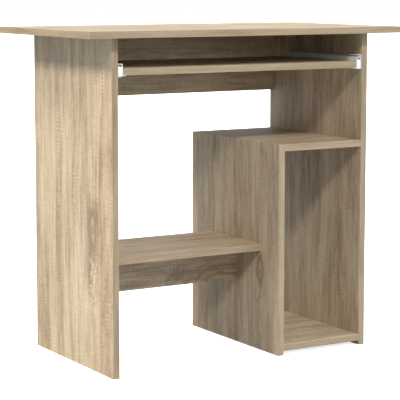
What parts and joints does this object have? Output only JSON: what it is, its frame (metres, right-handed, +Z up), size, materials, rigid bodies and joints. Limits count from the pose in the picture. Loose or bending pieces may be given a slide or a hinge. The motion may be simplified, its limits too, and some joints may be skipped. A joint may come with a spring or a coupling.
{
  "type": "computer desk",
  "caption": "Board desk with a pull-out keyboard tray on roller slides, a raised computer compartment on the right and a shallow foot shelf on the left.",
  "frame": {"origin": "on the floor, below the middle of the desktop", "axes": "+X to the user's right, along the desktop's length; +Y away from the user; +Z up"},
  "size_m": [0.8, 0.45, 0.74],
  "materials": {
    "oak_board": "light sawn-oak laminate on particle board, matt with a fine grain",
    "edge_band": "thin printed edge band, light oak",
    "enamelled_steel": "white stoved enamel, semi-gloss",
    "nylon": "moulded white nylon",
    "plated_steel": "bright zinc plate",
    "zinc_casting": "die-cast zinc alloy, satin",
    "beech": "turned beech dowel, unfinished"
  },
  "bodies": {
    "frame": {"desktop": "oak_board", "desktop_edge_band": "edge_band", "left_side_panel": "oak_board", "left_side_edge_band": "edge_band", "right_side_panel": "oak_board", "right_side_edge_band": "edge_band", "divider_panel": "oak_board", "divider_edge_band": "edge_band", "compartment_top": "oak_board", "compartment_top_edge_band": "edge_band", "compartment_floor": "oak_board", "compartment_floor_edge_band": "edge_band", "foot_shelf": "oak_board", "foot_shelf_edge_band": "edge_band", "foot_rail": "oak_board", "rear_rail": "oak_board", "left_cabinet_rail": "enamelled_steel", "right_cabinet_rail": "enamelled_steel", "left_cabinet_rail_screw_1": "plated_steel", "left_cabinet_rail_screw_2": "plated_steel", "right_cabinet_rail_screw_1": "plated_steel", "right_cabinet_rail_screw_2": "plated_steel", "left_front_rivet": "plated_steel", "right_front_rivet": "plated_steel", "desktop_left_front_cam": "zinc_casting", "desktop_left_front_bolt": "plated_steel", "desktop_left_rear_cam": "zinc_casting", "desktop_left_rear_bolt": "plated_steel", "desktop_right_front_cam": "zinc_casting", "desktop_right_front_bolt": "plated_steel", "desktop_right_rear_cam": "zinc_casting", "desktop_right_rear_bolt": "plated_steel", "rear_rail_left_cam": "zinc_casting", "rear_rail_left_bolt": "plated_steel", "rear_rail_right_cam": "zinc_casting", "rear_rail_right_bolt": "plated_steel", "foot_rail_left_cam": "zinc_casting", "foot_rail_left_bolt": "plated_steel", "foot_rail_right_cam": "zinc_casting", "foot_rail_right_bolt": "plated_steel", "foot_shelf_left_dowel": "beech", "foot_shelf_right_dowel": "beech", "compartment_top_left_dowel": "beech", "compartment_top_right_dowel": "beech", "compartment_floor_left_dowel": "beech", "compartment_floor_right_dowel": "beech"},
    "tray": {"keyboard_tray": "oak_board", "keyboard_tray_edge_band": "edge_band", "left_tray_rail": "enamelled_steel", "right_tray_rail": "enamelled_steel", "left_tray_rail_screw_1": "plated_steel", "left_tray_rail_screw_2": "plated_steel", "right_tray_rail_screw_1": "plated_steel", "right_tray_rail_screw_2": "plated_steel", "left_rear_rivet": "plated_steel", "right_rear_rivet": "plated_steel"},
    "left_front_wheel": {"left_front_roller": "nylon"},
    "right_front_wheel": {"right_front_roller": "nylon"},
    "left_rear_wheel": {"left_rear_roller": "nylon"},
    "right_rear_wheel": {"right_rear_roller": "nylon"}
  },
  "joints": [
    {"name": "tray_slide", "type": "slide", "parent": "frame", "child": "tray", "axis": [0, -1, 0], "range_m": [0, 0.22]},
    {"name": "left_front_roller_spin", "type": "hinge", "parent": "frame", "child": "left_front_wheel", "pos_m": [-0.30945, -0.1725, 0.6573], "axis": [1, 0, 0], "range_deg": [0, 1080]},
    {"name": "right_front_roller_spin", "type": "hinge", "parent": "frame", "child": "right_front_wheel", "pos_m": [0.30945, -0.1725, 0.6573], "axis": [1, 0, 0], "range_deg": [0, 1080]},
    {"name": "left_rear_roller_spin", "type": "hinge", "parent": "tray", "child": "left_rear_wheel", "pos_m": [-0.3081, 0.095, 0.6563], "axis": [1, 0, 0], "range_deg": [0, 1080]},
    {"name": "right_rear_roller_spin", "type": "hinge", "parent": "tray", "child": "right_rear_wheel", "pos_m": [0.3081, 0.095, 0.6563], "axis": [1, 0, 0], "range_deg": [0, 1080]}
  ],
  "couplings": [
    {"joint": "left_front_roller_spin", "follows": "tray_slide", "rad_per_m": 83.333},
    {"joint": "right_front_roller_spin", "follows": "tray_slide", "rad_per_m": 83.333},
    {"joint": "left_rear_roller_spin", "follows": "tray_slide", "rad_per_m": 83.333},
    {"joint": "right_rear_roller_spin", "follows": "tray_slide", "rad_per_m": 83.333}
  ]
}
